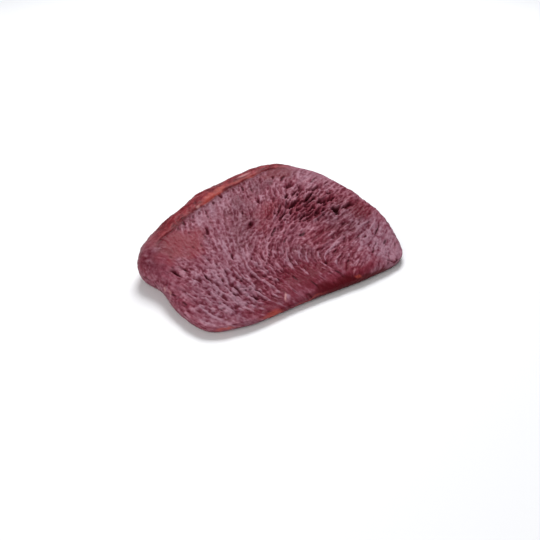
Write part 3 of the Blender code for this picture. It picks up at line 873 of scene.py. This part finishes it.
def meat_material():
    """Wet raw heart muscle: dark wine red with painted shade in the crevices, pink and mauve with painted
    sheen on the flakes, red on the skin.
    """
    material = bpy.data.materials.new("heart_muscle")
    material.use_nodes = True
    tree = material.node_tree
    nodes, links = tree.nodes, tree.links
    shader = nodes["Principled BSDF"]

    def attribute(name):
        node = nodes.new("ShaderNodeAttribute")
        node.attribute_name = name
        split = nodes.new("ShaderNodeSeparateColor")
        links.new(node.outputs["Color"], split.inputs["Color"])
        return split.outputs

    def give(socket, value):
        if hasattr(value, "is_linked"):
            links.new(value, socket)
        else:
            socket.default_value = value

    def mix(factor, first, second):
        node = nodes.new("ShaderNodeMix")
        node.data_type = "RGBA"
        for index, value in ((0, factor), (6, first), (7, second)):
            give(node.inputs[index], value)
        return node.outputs[2]

    def maths(operation, first, second, clamp=False):
        node = nodes.new("ShaderNodeMath")
        node.operation = operation
        node.use_clamp = clamp
        give(node.inputs[0], first)
        give(node.inputs[1], second)
        return node.outputs[0]

    def noise(scale, detail):
        node = nodes.new("ShaderNodeTexNoise")
        node.inputs["Scale"].default_value = scale
        node.inputs["Detail"].default_value = detail
        links.new(place, node.inputs["Vector"])
        return node.outputs["Fac"]

    def ramp(factor, stops):
        node = nodes.new("ShaderNodeValToRGB")
        elements = node.color_ramp.elements
        while len(elements) < len(stops):
            elements.new(0.5)
        for element, (position, colour) in zip(elements, stops):
            element.position = position
            element.color = (*colour, 1)
        links.new(factor, node.inputs["Fac"])
        return node.outputs["Color"]

    def tinted(colour, name, strength, tint):
        return mix(maths("MULTIPLY", shares[name], strength), colour, (*tint, 1))

    def weighed(*parts):
        total = 0.0
        for value, weight in parts:
            total = maths("ADD", maths("MULTIPLY", value, weight), total)
        return total

    place = nodes.new("ShaderNodeTexCoord").outputs["Object"]
    shares = {}
    for name, parts in ATTRIBUTES.items():
        shares.update(zip(parts, attribute(name)))

    speckle = maths("MULTIPLY", maths("SUBTRACT", noise(*SPECKLE), 0.5), SPECKLE_STRENGTH)
    streak = maths("ADD", shares["streak"], speckle, clamp=True)
    muscle = mix(shares["bloom_and_sheen"], ramp(streak, RED_STOPS), ramp(streak, MAUVE_STOPS))
    for name, strength, tint in MUSCLE_TINTS:
        muscle = tinted(muscle, name, strength, tint)
    outer = weighed(
        (noise(*SKIN_MOTTLE), SKIN_FROM_MOTTLE), (noise(*SKIN_SPECKLE), SKIN_FROM_SPECKLE),
        (streak, SKIN_FROM_STREAK),
    )
    outer = tinted(ramp(outer, SKIN_STOPS), *SKIN_MAUVE_TINT)
    colour = tinted(mix(shares["skin"], muscle, outer), *GROOVE_TINT)
    broken_fat = maths("MULTIPLY", shares["fat"], maths("ADD", noise(*FAT_BREAKS), FAT_KEEPS))
    colour = mix(broken_fat, colour, (*FAT_COLOUR, 1))
    colour = tinted(colour, *PALE_TINT)
    links.new(colour, shader.inputs["Base Color"])

    rougher = weighed((noise(*WET_PATCHES), ROUGHNESS_PATCHES), (shares["cavity"], ROUGHNESS_HOLLOWS))
    links.new(maths("ADD", rougher, ROUGHNESS), shader.inputs["Roughness"])
    shader.inputs["Specular IOR Level"].default_value = SPECULAR_LEVEL
    bump = nodes.new("ShaderNodeBump")
    bump.inputs["Strength"].default_value = GRAIN_STRENGTH
    bump.inputs["Distance"].default_value = GRAIN_DISTANCE
    links.new(noise(*WET_GRAIN), bump.inputs["Height"])
    links.new(bump.outputs["Normal"], shader.inputs["Normal"])
    return material


def slab():
    """The visible slab of meat, which stands for the CAD solid."""
    piece = bpy.data.objects.new("meat", slab_mesh())
    bpy.context.scene.collection.objects.link(piece)
    piece.data.materials.append(meat_material())
    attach(piece, "root")
    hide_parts("beef_heart")


def floor():
    """A plain pale floor."""
    data = bpy.data.meshes.new("floor")
    corners = [(x * FLOOR_HALF, y * FLOOR_HALF, 0) for x, y in ((-1, -1), (1, -1), (1, 1), (-1, 1))]
    data.from_pydata(corners, [], [(0, 1, 2, 3)])
    ground = bpy.data.objects.new("floor", data)
    bpy.context.scene.collection.objects.link(ground)
    material = bpy.data.materials.new("pale_floor")
    material.use_nodes = True
    shader = material.node_tree.nodes["Principled BSDF"]
    shader.inputs["Base Color"].default_value = FLOOR_COLOUR
    shader.inputs["Roughness"].default_value = FLOOR_ROUGHNESS
    data.materials.append(material)


def softbox(name, place, size, watts, colour):
    """A square soft light that looks at the middle of the slab."""
    light = bpy.data.lights.new(name, "AREA")
    light.size = size
    light.energy = watts
    light.color = colour
    lamp = bpy.data.objects.new(name, light)
    lamp.location = place
    lamp.rotation_euler = (Vector(AIM) - Vector(place)).to_track_quat("-Z", "Y").to_euler()
    bpy.context.scene.collection.objects.link(lamp)


def lights():
    """Soft studio light: a softbox behind and above, a weaker one at the front left and a pale room."""
    softbox("key", KEY_AT, KEY_SIZE, KEY_WATTS, KEY_COLOUR)
    softbox("fill", FILL_AT, FILL_SIZE, FILL_WATTS, FILL_COLOUR)
    world = bpy.data.worlds.new("room")
    bpy.context.scene.world = world
    world.use_nodes = True
    background = world.node_tree.nodes["Background"]
    background.inputs["Color"].default_value = ROOM_COLOUR
    background.inputs["Strength"].default_value = ROOM_STRENGTH


def camera():
    """The photograph's camera."""
    data = bpy.data.cameras.new("camera")
    data.sensor_width = SENSOR_WIDTH
    data.lens = LENS
    view = bpy.data.objects.new("camera", data)
    view.location = CAMERA_AT
    view.rotation_euler = Vector(CAMERA_LOOKS).to_track_quat("-Z", "Y").to_euler()
    bpy.context.scene.collection.objects.link(view)
    bpy.context.scene.camera = view


bpy.context.scene.view_settings.view_transform = "Standard"
slab()
floor()
lights()
camera()
